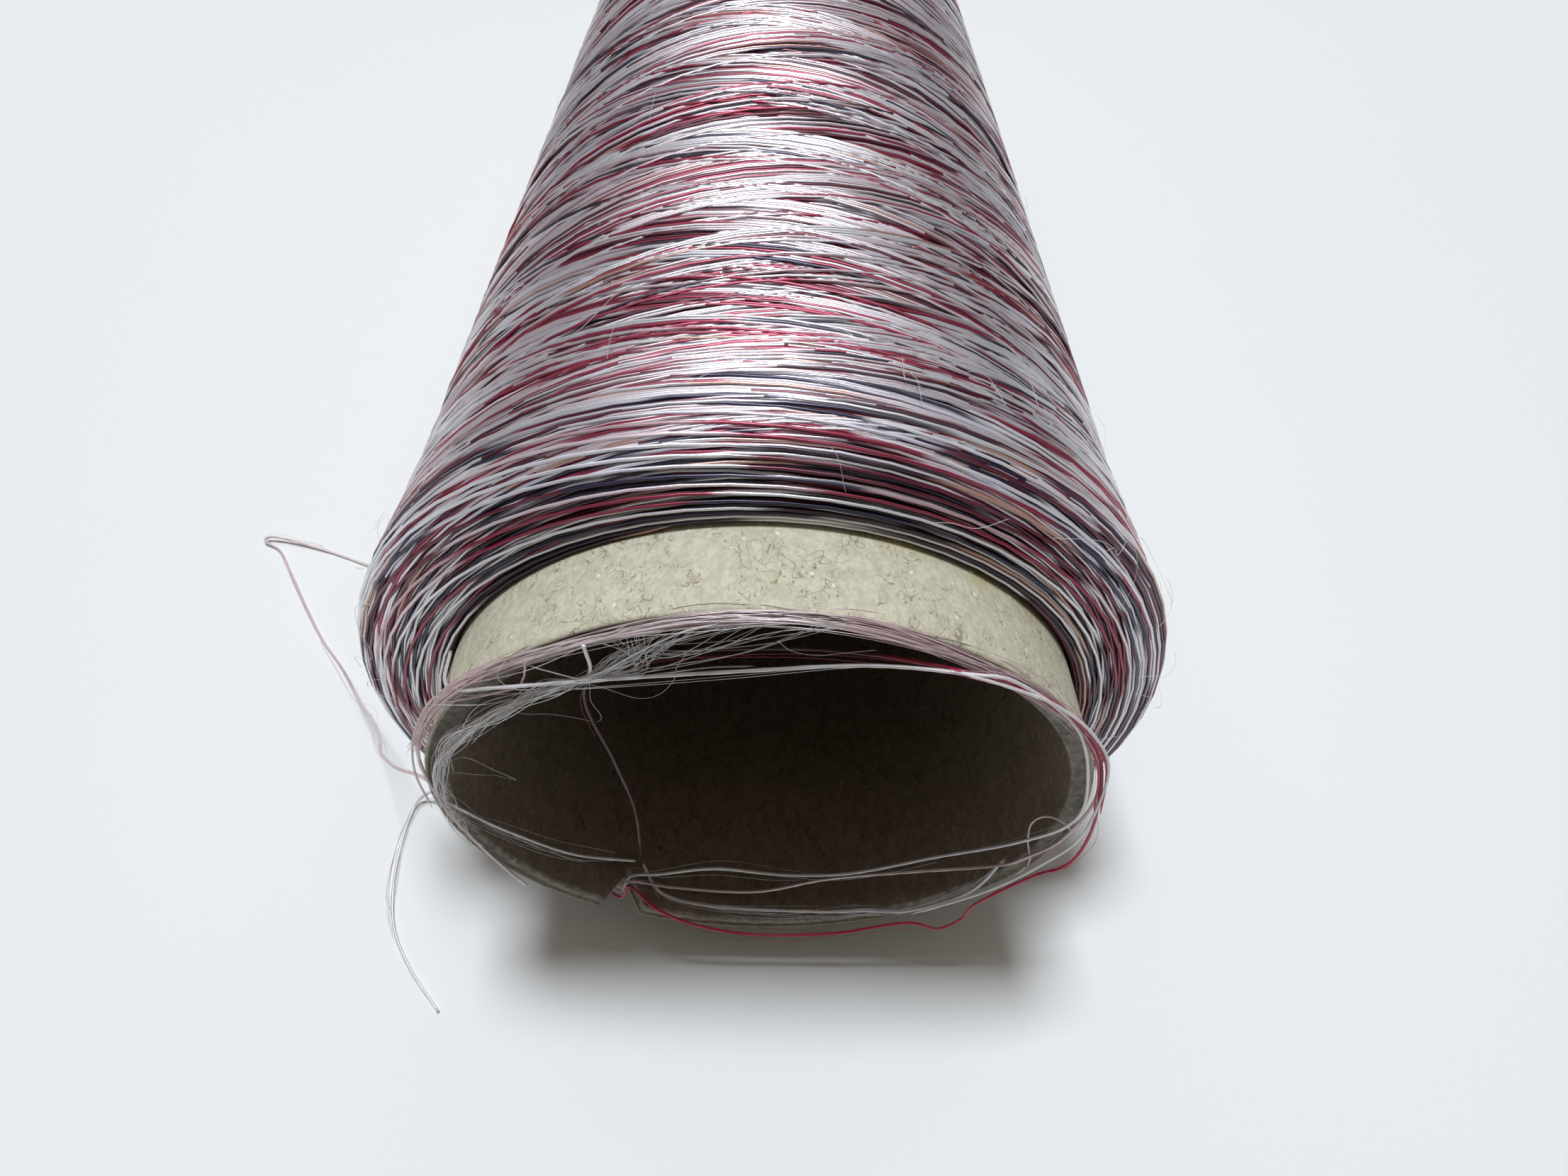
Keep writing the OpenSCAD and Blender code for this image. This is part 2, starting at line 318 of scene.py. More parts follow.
# Near the rim the cone is a little out of round, and one side of the notch springs out
out_of_round = OVALITY * ripple(columns, (2, 3, 7), 3)
past_corner = np.maximum(-from_notch - half_notch, 0)
flap = FLAP_LIFT * np.exp(-past_corner / FLAP_SPREAD) * (from_notch < 0)
radii = radii + (out_of_round + flap)[:, None] * np.exp(-depths / BENT_LENGTH)
board_points = placed(np.repeat(columns[:, None], section_size, 1), radii, depths).reshape(-1, 3)
column_count = len(columns)
board_faces = [
    (
        i * section_size + j,
        (i + 1) % column_count * section_size + j,
        (i + 1) % column_count * section_size + (j + 1) % section_size,
        i * section_size + (j + 1) % section_size,
    )
    for i in range(column_count)
    for j in range(section_size)
]
board = mesh_piece("board_cone", board_points, board_faces, [board_outside, board_cut, board_inside])
surfaces = sections[0][2]
surface_pairs = zip(surfaces.tolist(), np.roll(surfaces, -1).tolist())
face_surfaces = [second if first == OUTSIDE else first for first, second in surface_pairs]
board.data.polygons.foreach_set("material_index", face_surfaces * column_count)
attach(board, "root")
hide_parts("paper_cone")

# ---------------------------------------------------------------------------
# Inner layers of yarn. Thousands of turns packed on the board, of which only slivers
# show between the outer turns. Made as one closed body a little way under the surface.
# ---------------------------------------------------------------------------
COLLAR = 9.6 * MM
YARN_END = CONE_LENGTH - 10.4 * MM
BASE_LEAN = 5.4 * MM
NOSE_LEAN = 4.6 * MM
BASE_BUILD = 11.1 * MM
NOSE_BUILD = 9.7 * MM
BULGE = 1.0 * MM
BULGE_LENGTH = 17 * MM
SEAT = 0.15 * MM
INNER_DEPTH = 1.0 * MM
INNER_COLUMNS = 144
ARC_POINTS = 19
FLANK_RINGS = 40
# Painted shade: the inner turns' colours are the dyes darkened as if in shade, nearly black in the gaps
GAP_PAINTED_SHADE = (0.05, 0.014, 0.034)
CRIMSON_IN_PAINTED_SHADE = (0.17, 0.05, 0.08)
PALE_IN_PAINTED_SHADE = (0.46, 0.36, 0.38)

base_shoulder = COLLAR + BASE_LEAN
nose_shoulder = YARN_END - NOSE_LEAN
base_shoulder_radius = board_radius(base_shoulder) + BASE_BUILD
nose_shoulder_radius = board_radius(nose_shoulder) + NOSE_BUILD
body_slope = (base_shoulder_radius - BULGE - nose_shoulder_radius) / (nose_shoulder - base_shoulder)
bulge_end = base_shoulder + BULGE_LENGTH
base_root_radius = board_radius(COLLAR) + SEAT
nose_root_radius = board_radius(YARN_END) + SEAT
quarter = arc(0, 90, ARC_POINTS)
base_arc = (
    COLLAR + BASE_LEAN * (1 - np.cos(quarter)),
    base_root_radius + (base_shoulder_radius - base_root_radius) * np.sin(quarter),
)
nose_arc = (
    nose_shoulder + NOSE_LEAN * np.sin(quarter),
    nose_root_radius + (nose_shoulder_radius - nose_root_radius) * np.cos(quarter),
)
bulge_radius = nose_shoulder_radius + body_slope * (nose_shoulder - bulge_end)
profile = np.concatenate([np.stack(base_arc, 1), [[bulge_end, bulge_radius]], np.stack(nose_arc, 1)])
profile_run = np.r_[0, np.cumsum(np.linalg.norm(np.diff(profile, axis=0), axis=1))]
profile_slopes = np.gradient(profile, profile_run, axis=0)
profile_heading = np.arctan2(profile_slopes[:, 1], profile_slopes[:, 0])
surface_length = profile_run[-1]


def on_package(run, angle, height, lowest=0.2 * MM):
    """Places on the yarn's surface and the way out of it, from the run along its profile,
    the angle round it and the height over it. What would go through the table is pressed flat."""
    heading = np.interp(run, profile_run, profile_heading)
    out_depth, out_radius = -np.sin(heading), np.cos(heading)
    depth = np.interp(run, profile_run, profile[:, 0]) + height * out_depth
    radius = np.interp(run, profile_run, profile[:, 1]) + height * out_radius
    places = placed(angle, radius, depth)
    outward = radial(angle) * out_radius[..., None] + along_cone * out_depth[..., None]
    places[..., 2] = np.maximum(places[..., 2], lowest)
    return places, outward


def inner_material():
    """Packed turns seen between the outer ones: streaks of the dyes darkened as painted shade,
    long round the cone and narrow along it."""
    material, tree, shader = new_material("inner turns")
    turns = add(tree, "UVMap", uv_map="yarn").outputs["UV"]
    stretched = add(tree, "Mapping", {"Vector": turns, "Scale": (30.0, 2600.0, 1.0)}).outputs[0]
    streaks = add(tree, "TexNoise", {"Vector": stretched, "Scale": 1.0, "Detail": 1.0}).outputs["Fac"]
    ramp = add(tree, "ValToRGB", {"Fac": streaks})
    ramp.color_ramp.elements[0].position = 0.38
    ramp.color_ramp.elements[0].color = (*GAP_PAINTED_SHADE, 1)
    ramp.color_ramp.elements[1].position = 0.62
    ramp.color_ramp.elements[1].color = (*PALE_IN_PAINTED_SHADE, 1)
    ramp.color_ramp.elements.new(0.5).color = (*CRIMSON_IN_PAINTED_SHADE, 1)
    tree.links.new(ramp.outputs["Color"], shader.inputs["Base Color"])
    grooves = add(tree, "Bump", {"Height": streaks, "Strength": 0.6, "Distance": 0.2 * MM})
    tree.links.new(grooves.outputs["Normal"], shader.inputs["Normal"])
    shader.inputs["Roughness"].default_value = 0.6
    return material


inner_columns = np.linspace(0, math.tau, INNER_COLUMNS + 1)[:-1]
base_arc_end, nose_arc_start = profile_run[ARC_POINTS - 1], profile_run[ARC_POINTS + 1]
flank_runs = np.linspace(base_arc_end, nose_arc_start, FLANK_RINGS)[1:-1]
inner_runs = np.concatenate([profile_run[:ARC_POINTS], flank_runs, profile_run[ARC_POINTS + 1 :]])
run_grid, angle_grid = np.meshgrid(inner_runs, inner_columns)
inner_places, _ = on_package(run_grid, angle_grid, np.full(run_grid.shape, -INNER_DEPTH), INNER_DEPTH)

# The side that lies on the board, and one closed skin from both
hidden_depths = np.array([[YARN_END - 2 * MM, COLLAR + 2 * MM]])
hidden_angles = np.repeat(inner_columns[:, None], 2, 1)
hidden = placed(hidden_angles, board_radius(hidden_depths) + SEAT, hidden_depths)
inner_points = np.concatenate([inner_places, hidden], 1)
ring = inner_points.shape[1]
inner_faces = [
    (i * ring + j, after * ring + j, after * ring + (j + 1) % ring, i * ring + (j + 1) % ring)
    for i, after in enumerate([*range(1, INNER_COLUMNS), 0])
    for j in range(ring)
]
inner = mesh_piece("inner_layers", inner_points.reshape(-1, 3), inner_faces, [inner_material()])

# Its streaks are laid out in metres round the cone and along the profile
corner = np.array([(i, j) for i in range(INNER_COLUMNS) for j in range(ring)])
steps_round = np.stack([corner[:, 0], corner[:, 0] + 1, corner[:, 0] + 1, corner[:, 0]], 1)
steps_along = np.stack([corner[:, 1], corner[:, 1], corner[:, 1] + 1, corner[:, 1] + 1], 1) % ring
all_runs = np.r_[inner_runs, surface_length, 0]
one_column = math.tau / INNER_COLUMNS * base_root_radius
inner_layout = np.stack([steps_round * one_column, all_runs[steps_along]], 2)
inner.data.uv_layers.new(name="yarn").data.foreach_set("uv", inner_layout.ravel())
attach(inner, "root")
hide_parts("yarn_core")

# ---------------------------------------------------------------------------
# Outer layers of yarn. One unbroken glossy yarn, wound by a machine: layers that cross over
# the base's end face, a bed of parallel turns, then strokes to the nose and back at a low
# angle, a few side by side before a group starts elsewhere, and turns over the nose's end.
# ---------------------------------------------------------------------------
YARN_WIDTH = 0.37 * MM
YARN_HEIGHT = 0.32 * MM
LAYER_DEPTH = 0.8 * MM
TOP_HEIGHT = -0.1 * MM
BASE_LAYER = 0.12 * MM
BACK_STROKES_LOWER = 0.03 * MM
RINGS_A_TURN = 54
MOST_RINGS = 18500

# Layers over the base's end face, as (from, to, turns) in mm along the package's profile, and
# those over the nose's end face in mm back from the profile's end
BASE_LAYERS = [(0.35, 20, 43), (20, 0.5, 30), (0.5, 15, 19), (15, 0.5, 17), (0.5, 20, 24)]
NOSE_LAYERS = [(13, 0.4, 28), (0.4, 12, 27)]
MOST_WEAVE = 2.4 * MM
BED_TURNS = 330
BED_MARGIN = 12 * MM

# Strokes: their turns, and where a group turns back, as two ranges in mm from either end of
# the profile and the share of the groups that take the first
STROKE_TURNS = 4.8
STROKE_SPREAD = 0.7
SINGLE_STROKES_SHORTER = 1.2
STROKE_EASE = 0.11
SWERVE = 0.7
OWN_SWERVE = 0.12
GROUPS = 20
FEWEST_IN_GROUP = 3
MOST_IN_GROUP = 9
SINGLE_GROUPS = 3
NEXT_BESIDE = 0.44 * MM
UNEVEN_BESIDE = 0.06
BASE_TURN_BACK = ((4, 10), (11, 18), 0.12)
NOSE_TURN_BACK = ((5, 9), (9, 15), 0.4)
GOLDEN = 0.6180339887

# The dyes follow one another along the yarn: (share of the repeat, colour)
DYE_REPEAT = 0.417
WHITE = (0.96, 0.95, 0.99)
SILVER = (0.84, 0.82, 0.89)
PALE_PINK = (0.88, 0.74, 0.79)
DUSTY_PINK = (0.66, 0.45, 0.48)
TAN = (0.60, 0.36, 0.28)
CRIMSON = (0.42, 0.010, 0.065)
BURGUNDY = (0.14, 0.006, 0.028)
NAVY = (0.022, 0.018, 0.060)
PLUM = (0.040, 0.012, 0.030)
DYES = [
    (0.00, WHITE),
    (0.10, PALE_PINK),
    (0.16, CRIMSON),
    (0.225, SILVER),
    (0.28, TAN),
    (0.315, WHITE),
    (0.40, NAVY),
    (0.435, SILVER),
    (0.50, BURGUNDY),
    (0.545, PALE_PINK),
    (0.62, DUSTY_PINK),
    (0.655, PLUM),
    (0.70, WHITE),
    (0.79, CRIMSON),
    (0.86, PALE_PINK),
    (0.94, BURGUNDY),
]

# The yarn at the base's end face has more of the dark dyes
BASE_REPEAT = 0.441
DEEP_CRIMSON = (0.31, 0.010, 0.050)
BASE_DYES = [
    (0.00, BURGUNDY),
    (0.09, WHITE),
    (0.18, NAVY),
    (0.27, DEEP_CRIMSON),
    (0.33, PALE_PINK),
    (0.40, BURGUNDY),
    (0.49, SILVER),
    (0.58, NAVY),
    (0.625, TAN),
    (0.66, PLUM),
    (0.70, WHITE),
    (0.82, DEEP_CRIMSON),
    (0.88, DUSTY_PINK),
    (0.93, NAVY),
]
DYE_EDGE = 0.006
FADED = (0.42, 0.34, 0.36)
MOST_FADED = 0.22
GLOSS_IOR = 2.3

rng = np.random.default_rng(11)


def ring_angles(turns):
    """Angles of a stretch's rings, in step with every other stretch's."""
    return np.arange(round(turns * RINGS_A_TURN) + 1) * math.tau / RINGS_A_TURN


def face_turns(first, last, turns):
    """Turns laid side by side from one place along the profile to another. They weave as one,
    about once and twice a turn, by at most 1.4 of the weave's size, which the ends leave room for."""
    steps = ring_angles(turns)
    along = first + (last - first) * steps / steps[-1]
    weave = np.sin(1.012 * steps + rng.uniform(0, 6))
    weave += 0.4 * np.sin(2.019 * steps + rng.uniform(0, 6))
    room = np.minimum(along, surface_length - along)
    return steps, along + weave * np.minimum(MOST_WEAVE, room / 1.6)


def stroke(first, last, turns, wander):
    """One crossing of the cone, easing out of one end and into the other. It wanders at its
    group's rate and phase, and swerves a little on its own."""
    steps = ring_angles(turns)
    share = steps / steps[-1]
    left = 1 - share
    eased = np.where(share < STROKE_EASE, share**2 / (2 * STROKE_EASE), share - STROKE_EASE / 2)
    eased = np.where(left < STROKE_EASE, 1 - STROKE_EASE - left**2 / (2 * STROKE_EASE), eased)
    eased /= 1 - STROKE_EASE
    rate, phase = wander
    own = OWN_SWERVE * np.sin(steps * rng.uniform(0.8, 2.2) + rng.uniform(0, 6))
    swerve = (SWERVE * np.sin(steps * rate + phase) + own) * MM * np.sin(share * math.pi)
    return steps, first + (last - first) * eased + swerve


def turning_place(near, far, near_share):
    """How far from the profile's end a group of strokes turns back."""
    places = [rng.uniform(*near), rng.uniform(*far)]
    return rng.choice(places, p=[near_share, 1 - near_share]) * MM


def wound_yarn():
    """The whole yarn as (angle, run along the profile), stretch after stretch."""
    bed_start, bed_end = BASE_LAYERS[-1][1] * MM, surface_length - BED_MARGIN
    plain = (1.0, 0)
    stretches = [face_turns(first * MM, last * MM, turns) for first, last, turns in BASE_LAYERS]
    stretches.append(face_turns(bed_start, bed_end, BED_TURNS))
    stretches.append(stroke(bed_end, BED_MARGIN, STROKE_TURNS, plain))
    laid = 0.0
    for group in range(GROUPS):
        members = rng.integers(FEWEST_IN_GROUP, MOST_IN_GROUP + 1)
        out_turns = STROKE_TURNS + rng.uniform(-STROKE_SPREAD, STROKE_SPREAD)
        if group >= GROUPS - SINGLE_GROUPS:
            members = 1
            out_turns -= SINGLE_STROKES_SHORTER
        # Out and back make whole turns, so that the next pair lies beside this one
        back_turns = round(2 * out_turns) - out_turns
        base_end = turning_place(*BASE_TURN_BACK)
        nose_end = surface_length - turning_place(*NOSE_TURN_BACK)
        wanders = rng.uniform((0.5, 0), (1.4, 6), (2, 2))
        for member in range(members):
            beside = member * NEXT_BESIDE + rng.normal(0, UNEVEN_BESIDE) * MM
            # The last pair turns on a little, which spreads the groups round the cone
            if member == members - 1:
                back_turns += (group * GOLDEN - laid - out_turns - back_turns) % 1
            laid += out_turns + back_turns
            stretches.append(stroke(stretches[-1][1][-1], nose_end + beside, out_turns, wanders[0]))
            stretches.append(stroke(nose_end + beside, base_end + beside, back_turns, wanders[1]))
    nose_start = surface_length - NOSE_LAYERS[0][0] * MM
    stretches.append(stroke(stretches[-1][1][-1], nose_start, STROKE_TURNS, plain))
    for first, last, turns in NOSE_LAYERS:
        stretches.append(face_turns(surface_length - first * MM, surface_length - last * MM, turns))
    return stretches


def filament_group():
    """Fine filaments twisted into one yarn: a height along their lay and an uneven lustre."""
    group = bpy.data.node_groups.new("filaments", "ShaderNodeTree")
    group.interface.new_socket("Yarn", in_out="INPUT", socket_type="NodeSocketVector")
    for output in ("Height", "Lustre"):
        group.interface.new_socket(output, in_out="OUTPUT", socket_type="NodeSocketFloat")
    yarn = group.nodes.new("NodeGroupInput").outputs["Yarn"]
    result = group.nodes.new("NodeGroupOutput")
    parts = add(group, "SeparateXYZ", {"Vector": yarn}).outputs
    lay = maths(group, "MULTIPLY_ADD", parts["X"], 260.0, parts["Y"])
    wave = maths(group, "SINE", maths(group, "MULTIPLY", lay, math.tau * 5))
    only_run = add(group, "CombineXYZ", {"X": parts["X"]}).outputs[0]
    uneven = add(group, "TexNoise", {"Vector": only_run, "Scale": 150.0}).outputs["Fac"]
    group.links.new(wave, result.inputs["Height"])
    group.links.new(uneven, result.inputs["Lustre"])
    return group


filaments = filament_group()


def yarn_material(name, dyes, repeat, roughness, lustre, gloss, straying=0.25):
    """Bright filament yarn whose dye changes along its length, under a clear surface gloss that
    is stronger on the pale dyes. The dyes stray from their places by a share of the repeat."""
    material, tree, shader = new_material(name)
    yarn = add(tree, "UVMap", uv_map="yarn").outputs["UV"]
    run = add(tree, "SeparateXYZ", {"Vector": yarn}).outputs["X"]
    only_run = add(tree, "CombineXYZ", {"X": run}).outputs[0]
    drift = add(tree, "TexNoise", {"Vector": only_run, "Scale": 3.3, "Detail": 3.0}).outputs["Fac"]
    centred = maths(tree, "SUBTRACT", drift, 0.5)
    shifted = maths(tree, "MULTIPLY_ADD", centred, straying * repeat, run)
    phase = maths(tree, "FRACT", maths(tree, "DIVIDE", shifted, repeat))
    ramp_node = add(tree, "ValToRGB", {"Fac": phase})
    ramp = ramp_node.color_ramp
    ramp.elements.remove(ramp.elements[1])
    ramp.elements[0].position = 0
    ramp.elements[0].color = (*dyes[0][1], 1)
    for (start, colour), (_, before) in zip(dyes[1:], dyes):
        ramp.elements.new(start - DYE_EDGE).color = (*before, 1)
        ramp.elements.new(start).color = (*colour, 1)
    cloudy = add(tree, "TexNoise", {"Vector": only_run, "Scale": 90.0, "Detail": 2.0}).outputs["Fac"]
    uneven = maths(tree, "MULTIPLY", between(tree, cloudy, 0.45, 0.75), MOST_FADED)
    washed = mixed(tree, uneven, ramp_node.outputs["Color"], FADED)
    tree.links.new(washed, shader.inputs["Base Color"])
    twist = tree.nodes.new("ShaderNodeGroup")
    twist.node_tree = filaments
    tree.links.new(yarn, twist.inputs["Yarn"])
    relief = {"Height": twist.outputs["Height"], "Strength": 0.08, "Distance": 0.02 * MM}
    tree.links.new(add(tree, "Bump", relief).outputs["Normal"], shader.inputs["Normal"])
    dull = maths(tree, "MULTIPLY_ADD", twist.outputs["Lustre"], 0.2, roughness - 0.1)
    tree.links.new(dull, shader.inputs["Roughness"])
    pale = add(tree, "RGBToBW", {"Color": ramp_node.outputs["Color"]}).outputs[0]
    sheen = maths(tree, "MULTIPLY_ADD", pale, 0.6 * gloss, 0.45 * gloss)
    tree.links.new(sheen, shader.inputs["Coat Weight"])
    shader.inputs["Metallic"].default_value = lustre
    shader.inputs["Coat IOR"].default_value = GLOSS_IOR
    shader.inputs["Coat Roughness"].default_value = roughness
    return material


PLY_LAY = 3.4 * MM


def tubes(name, rows, material, sides=5, lobes=0.0):
    """Closed yarn tubes in one mesh. A row is (places, outward, run, width, height), and
    lobes is how far two plies twisted together stand out of a round section."""
    all_points, all_faces, all_layouts = [], [], []
    start = 0
    turn = np.arange(sides) * math.tau / sides + math.pi / 2
    k = np.arange(sides)
    after = (k + 1) % sides
    for places, outward, run, width, height in rows:
        ahead = np.gradient(places, axis=0)
        ahead /= np.linalg.norm(ahead, axis=1, keepdims=True)
        side = np.cross(ahead, outward)
        side /= np.linalg.norm(side, axis=1, keepdims=True)
        up = np.cross(side, ahead)
        twisted = turn[None, :] - run[:, None] * math.tau / PLY_LAY
        plies = 1 - lobes * (1 - np.cos(2 * twisted))
        across = plies * np.cos(turn) * width / 2
        proud = plies * np.sin(turn) * height / 2
        ringed = places[:, None] + across[..., None] * side[:, None] + proud[..., None] * up[:, None]
        count = len(places)
        near = start + np.arange(count - 1)[:, None] * sides
        quads = np.stack([near + k, near + after, near + sides + after, near + sides + k], 2)
        u0 = np.broadcast_to(run[:-1, None], quads.shape[:2])
        u1 = np.broadcast_to(run[1:, None], quads.shape[:2])
        v0 = np.broadcast_to(k / sides, quads.shape[:2])
        v1 = v0 + 1 / sides
        all_layouts.append(np.stack([u0, v0, u0, v1, u1, v1, u1, v0], 2).reshape(-1, 4, 2))
        all_faces.append(quads.reshape(-1, 4))
        last = start + (count - 1) * sides
        tip = start + count * sides
        first_tips, last_tips = np.full(sides, tip), np.full(sides, tip + 1)
        all_faces.append(np.stack([start + after, start + k, first_tips, first_tips], 1))
        all_faces.append(np.stack([last + k, last + after, last_tips, last_tips], 1))
        for at in (run[0], run[-1]):
            all_layouts.append(np.tile([at, 0.0], (sides, 4, 1)))
        all_points.append(ringed.reshape(-1, 3))
        all_points.append(places[[0, -1]])
        start += count * sides + 2
    points, faces = np.concatenate(all_points), np.concatenate(all_faces)
    is_cap = faces[:, 2] == faces[:, 3]
    kept = np.ones(faces.shape, bool)
    kept[is_cap, 3] = False
    sizes = np.where(is_cap, 3, 4)
    mesh = bpy.data.meshes.new(name)
    mesh.vertices.add(len(points))
    mesh.vertices.foreach_set("co", points.ravel())
    mesh.loops.add(int(sizes.sum()))
    mesh.loops.foreach_set("vertex_index", faces[kept])
    mesh.polygons.add(len(faces))
    mesh.polygons.foreach_set("loop_start", np.r_[0, np.cumsum(sizes)[:-1]])
    mesh.polygons.foreach_set("loop_total", sizes)
    mesh.polygons.foreach_set("use_smooth", ~is_cap)
    layout = mesh.uv_layers.new(name="yarn")
    layout.data.foreach_set("uv", np.concatenate(all_layouts)[kept].ravel())
    mesh.update()
    mesh.validate()
    mesh.materials.append(material)
    piece = bpy.data.objects.new(name, mesh)
    bpy.context.scene.collection.objects.link(piece)
    return piece


def run_of(places):
    """How far along a path each of its places is."""
    return np.r_[0, np.cumsum(np.linalg.norm(np.diff(places, axis=0), axis=1))]


space_dyed = yarn_material("space-dyed yarn", DYES, DYE_REPEAT, roughness=0.42, lustre=0.72, gloss=1.1)
base_name = "space-dyed yarn at the base"
base_dyed = yarn_material(base_name, BASE_DYES, BASE_REPEAT, 0.40, lustre=0.5, gloss=0.6, straying=0.5)

# The yarn rises from the inner layers to the surface as it is laid. It is drawn as a few
# pieces: one of the base's layers, and the rest shared out by their rings
START_ANGLE = math.radians(100)
stretches = wound_yarn()
ring_total = sum(len(steps) for steps, _ in stretches)
angle_so_far = START_ANGLE
run_so_far = 0.0
rings_so_far = 0
batches = [[]]
rings_in_batch = 0
for number, (steps, along) in enumerate(stretches):
    order = (rings_so_far + np.arange(len(steps))) / ring_total
    height = TOP_HEIGHT - LAYER_DEPTH * (1 - order) - number % 2 * BACK_STROKES_LOWER
    if number < len(BASE_LAYERS):
        height = height + number * BASE_LAYER
    places, outward = on_package(along, angle_so_far + steps, height)
    run = run_so_far + run_of(places)
    if rings_in_batch + len(steps) > MOST_RINGS or number == len(BASE_LAYERS):
        batches.append([])
        rings_in_batch = 0
    # A stretch starts on the last ring of the one before it, which is drawn once
    drawn = slice(1 if batches[-1] else 0, None)
    batches[-1].append((places[drawn], outward[drawn], run[drawn]))
    rings_in_batch += len(steps)
    angle_so_far += steps[-1]
    run_so_far = run[-1]
    rings_so_far += len(steps)
for number, batch in enumerate(batches):
    places, outward, run = (np.concatenate(parts) for parts in zip(*batch))
    row = (places, outward, run, YARN_WIDTH, YARN_HEIGHT)
    winding = tubes(f"outer_turns_{number + 1}", [row], space_dyed if number else base_dyed)
    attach(winding, "root")
    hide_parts("outer_winding")

# ---------------------------------------------------------------------------
# Loose yarns at the rim. Ends left by the winder: they come out from under the base's
# turns, catch in the notch and are wrapped round the rim by hand. Each is two fine
# plies twisted together, with a few filaments that have sprung out of it.
# ---------------------------------------------------------------------------
LOOSE_YARN = 0.4 * MM
FILAMENT = 0.05 * MM
TABLE_GAP = 0.21 * MM
CURVE_STEPS = 10
SPRUNG_FILAMENTS = 12
SPRUNG_REACH = 1.0 * MM


def rim_route(points):
    """Places from (angle in degrees, mm beyond the rim's radius, mm deep from the rim)."""
    angle, beyond, depth = np.array(points, float).T
    return placed(np.radians(angle), RIM_RADIUS + beyond * MM, depth * MM)


def smooth_route(points):
    """A curve through the points, eased between each pair, never into the table."""
    padded = np.concatenate([[2 * points[0] - points[1]], points, [2 * points[-1] - points[-2]]])
    t = np.linspace(0, 1, CURVE_STEPS, endpoint=False)[:, None]
    pieces = []
    for a, b, c, d in zip(padded, padded[1:], padded[2:], padded[3:]):
        bent = (2 * a - 5 * b + 4 * c - d) * t**2 + (3 * b - a - 3 * c + d) * t**3
        pieces.append(0.5 * (2 * b + (c - a) * t + bent))
    route = np.concatenate([*pieces, points[-1:]])
    route[:, 2] = np.maximum(route[:, 2], TABLE_GAP)
    return route


def plain_outward(route):
    """A steady way out for the section of a free yarn."""
    ahead = np.gradient(route, axis=0)
    outward = np.cross(ahead, [0.31, 0.17, 0.94])
    return outward / np.linalg.norm(outward, axis=1, keepdims=True)


def strand_row(points, width):
    """A free yarn's row for tubes, round and of one width."""
    route = smooth_route(points)
    return route, plain_outward(route), run_of(route), width, width


def ply_row(points, width):
    """A ply, drawn thin towards both its ends."""
    route, outward, run, _, _ = strand_row(points, width)
    from_end = np.minimum(run, run[-1] - run)
    thinned = width * np.clip(from_end / (6 * width), 0.3, 1)[:, None]
    return route, outward, run, thinned, thinned


def sprung_filament(route, seed):
    """A filament that leaves a yarn's route sideways and curls back towards it."""
    random = np.random.default_rng(seed)
    size = random.integers(14, 40)
    start = random.integers(2, max(3, len(route) - size - 2))
    piece = route[start : start + size]
    share = np.linspace(0, 1, len(piece))[:, None]
    lift = random.uniform(-1, 1, 3) * SPRUNG_REACH * np.sin(share * math.pi * random.uniform(0.6, 1.0))
    curl = random.uniform(-0.3, 0.3, 3) * SPRUNG_REACH
    curl = curl * np.sin(share * random.uniform(4, 12) + random.uniform(0, 6))
    places = piece + lift + curl * share
    places[:, 2] = np.maximum(places[:, 2], FILAMENT)
    return places, plain_outward(places), run_of(places), FILAMENT, FILAMENT


white_dyes = [(0.0, (0.84, 0.82, 0.80)), (0.5, (0.76, 0.71, 0.70))]
pink_dyes = [(0.0, (0.70, 0.52, 0.52)), (0.5, (0.76, 0.65, 0.64))]
# The crimson yarn darkens to almost black along its far end: painted shade where it hangs into the
# cone's mouth
crimson_dyes_and_painted_shade = [(0.0, (0.52, 0.012, 0.07)), (0.35, (0.34, 0.008, 0.045)), (0.47, (0.045, 0.002, 0.006))]
white_yarn = yarn_material("white yarn", white_dyes, 0.06, 0.45, lustre=0.2, gloss=0.4)
pink_yarn = yarn_material("pink yarn", pink_dyes, 0.06, 0.42, lustre=0.3, gloss=0.4)
crimson_yarn = yarn_material(
    "crimson yarn", crimson_dyes_and_painted_shade, 0.30, 0.5, lustre=0.2, gloss=0.15, straying=0.05
)


def loose_yarn(name, node, points, material, plies=()):
    """A free yarn along its route, which stands for the solid of the same route, with its
    sprung filaments and any plies that run beside it."""
    row = strand_row(points, LOOSE_YARN)
    route = row[0]
    piece = tubes(name, [row], material, sides=10, lobes=0.09)
    seed = sum(map(ord, name))
    sprung = [sprung_filament(route, seed + number) for number in range(SPRUNG_FILAMENTS)]
    companions = [tubes(name + "_filaments", sprung, material, sides=3)]
    if plies:
        ply_rows = [ply_row(*ply) for ply in plies]
        companions.append(tubes(name + "_plies", ply_rows, material, sides=7, lobes=0.07))
    for made in (piece, *companions):
        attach(made, "root")
    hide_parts(node)


def beside(points, first, last, beyond, depth, seed, unevenness=0.12):
    """The stretch of a rim route between two angles, moved out and along and made uneven."""
    random = np.random.default_rng(seed)
    chosen = np.array([point for point in points if first <= point[0] <= last], float)
    chosen[:, 1] += beyond + random.normal(0, unevenness, len(chosen))
    chosen[:, 2] += depth + random.normal(0, unevenness, len(chosen))
    return rim_route(chosen)


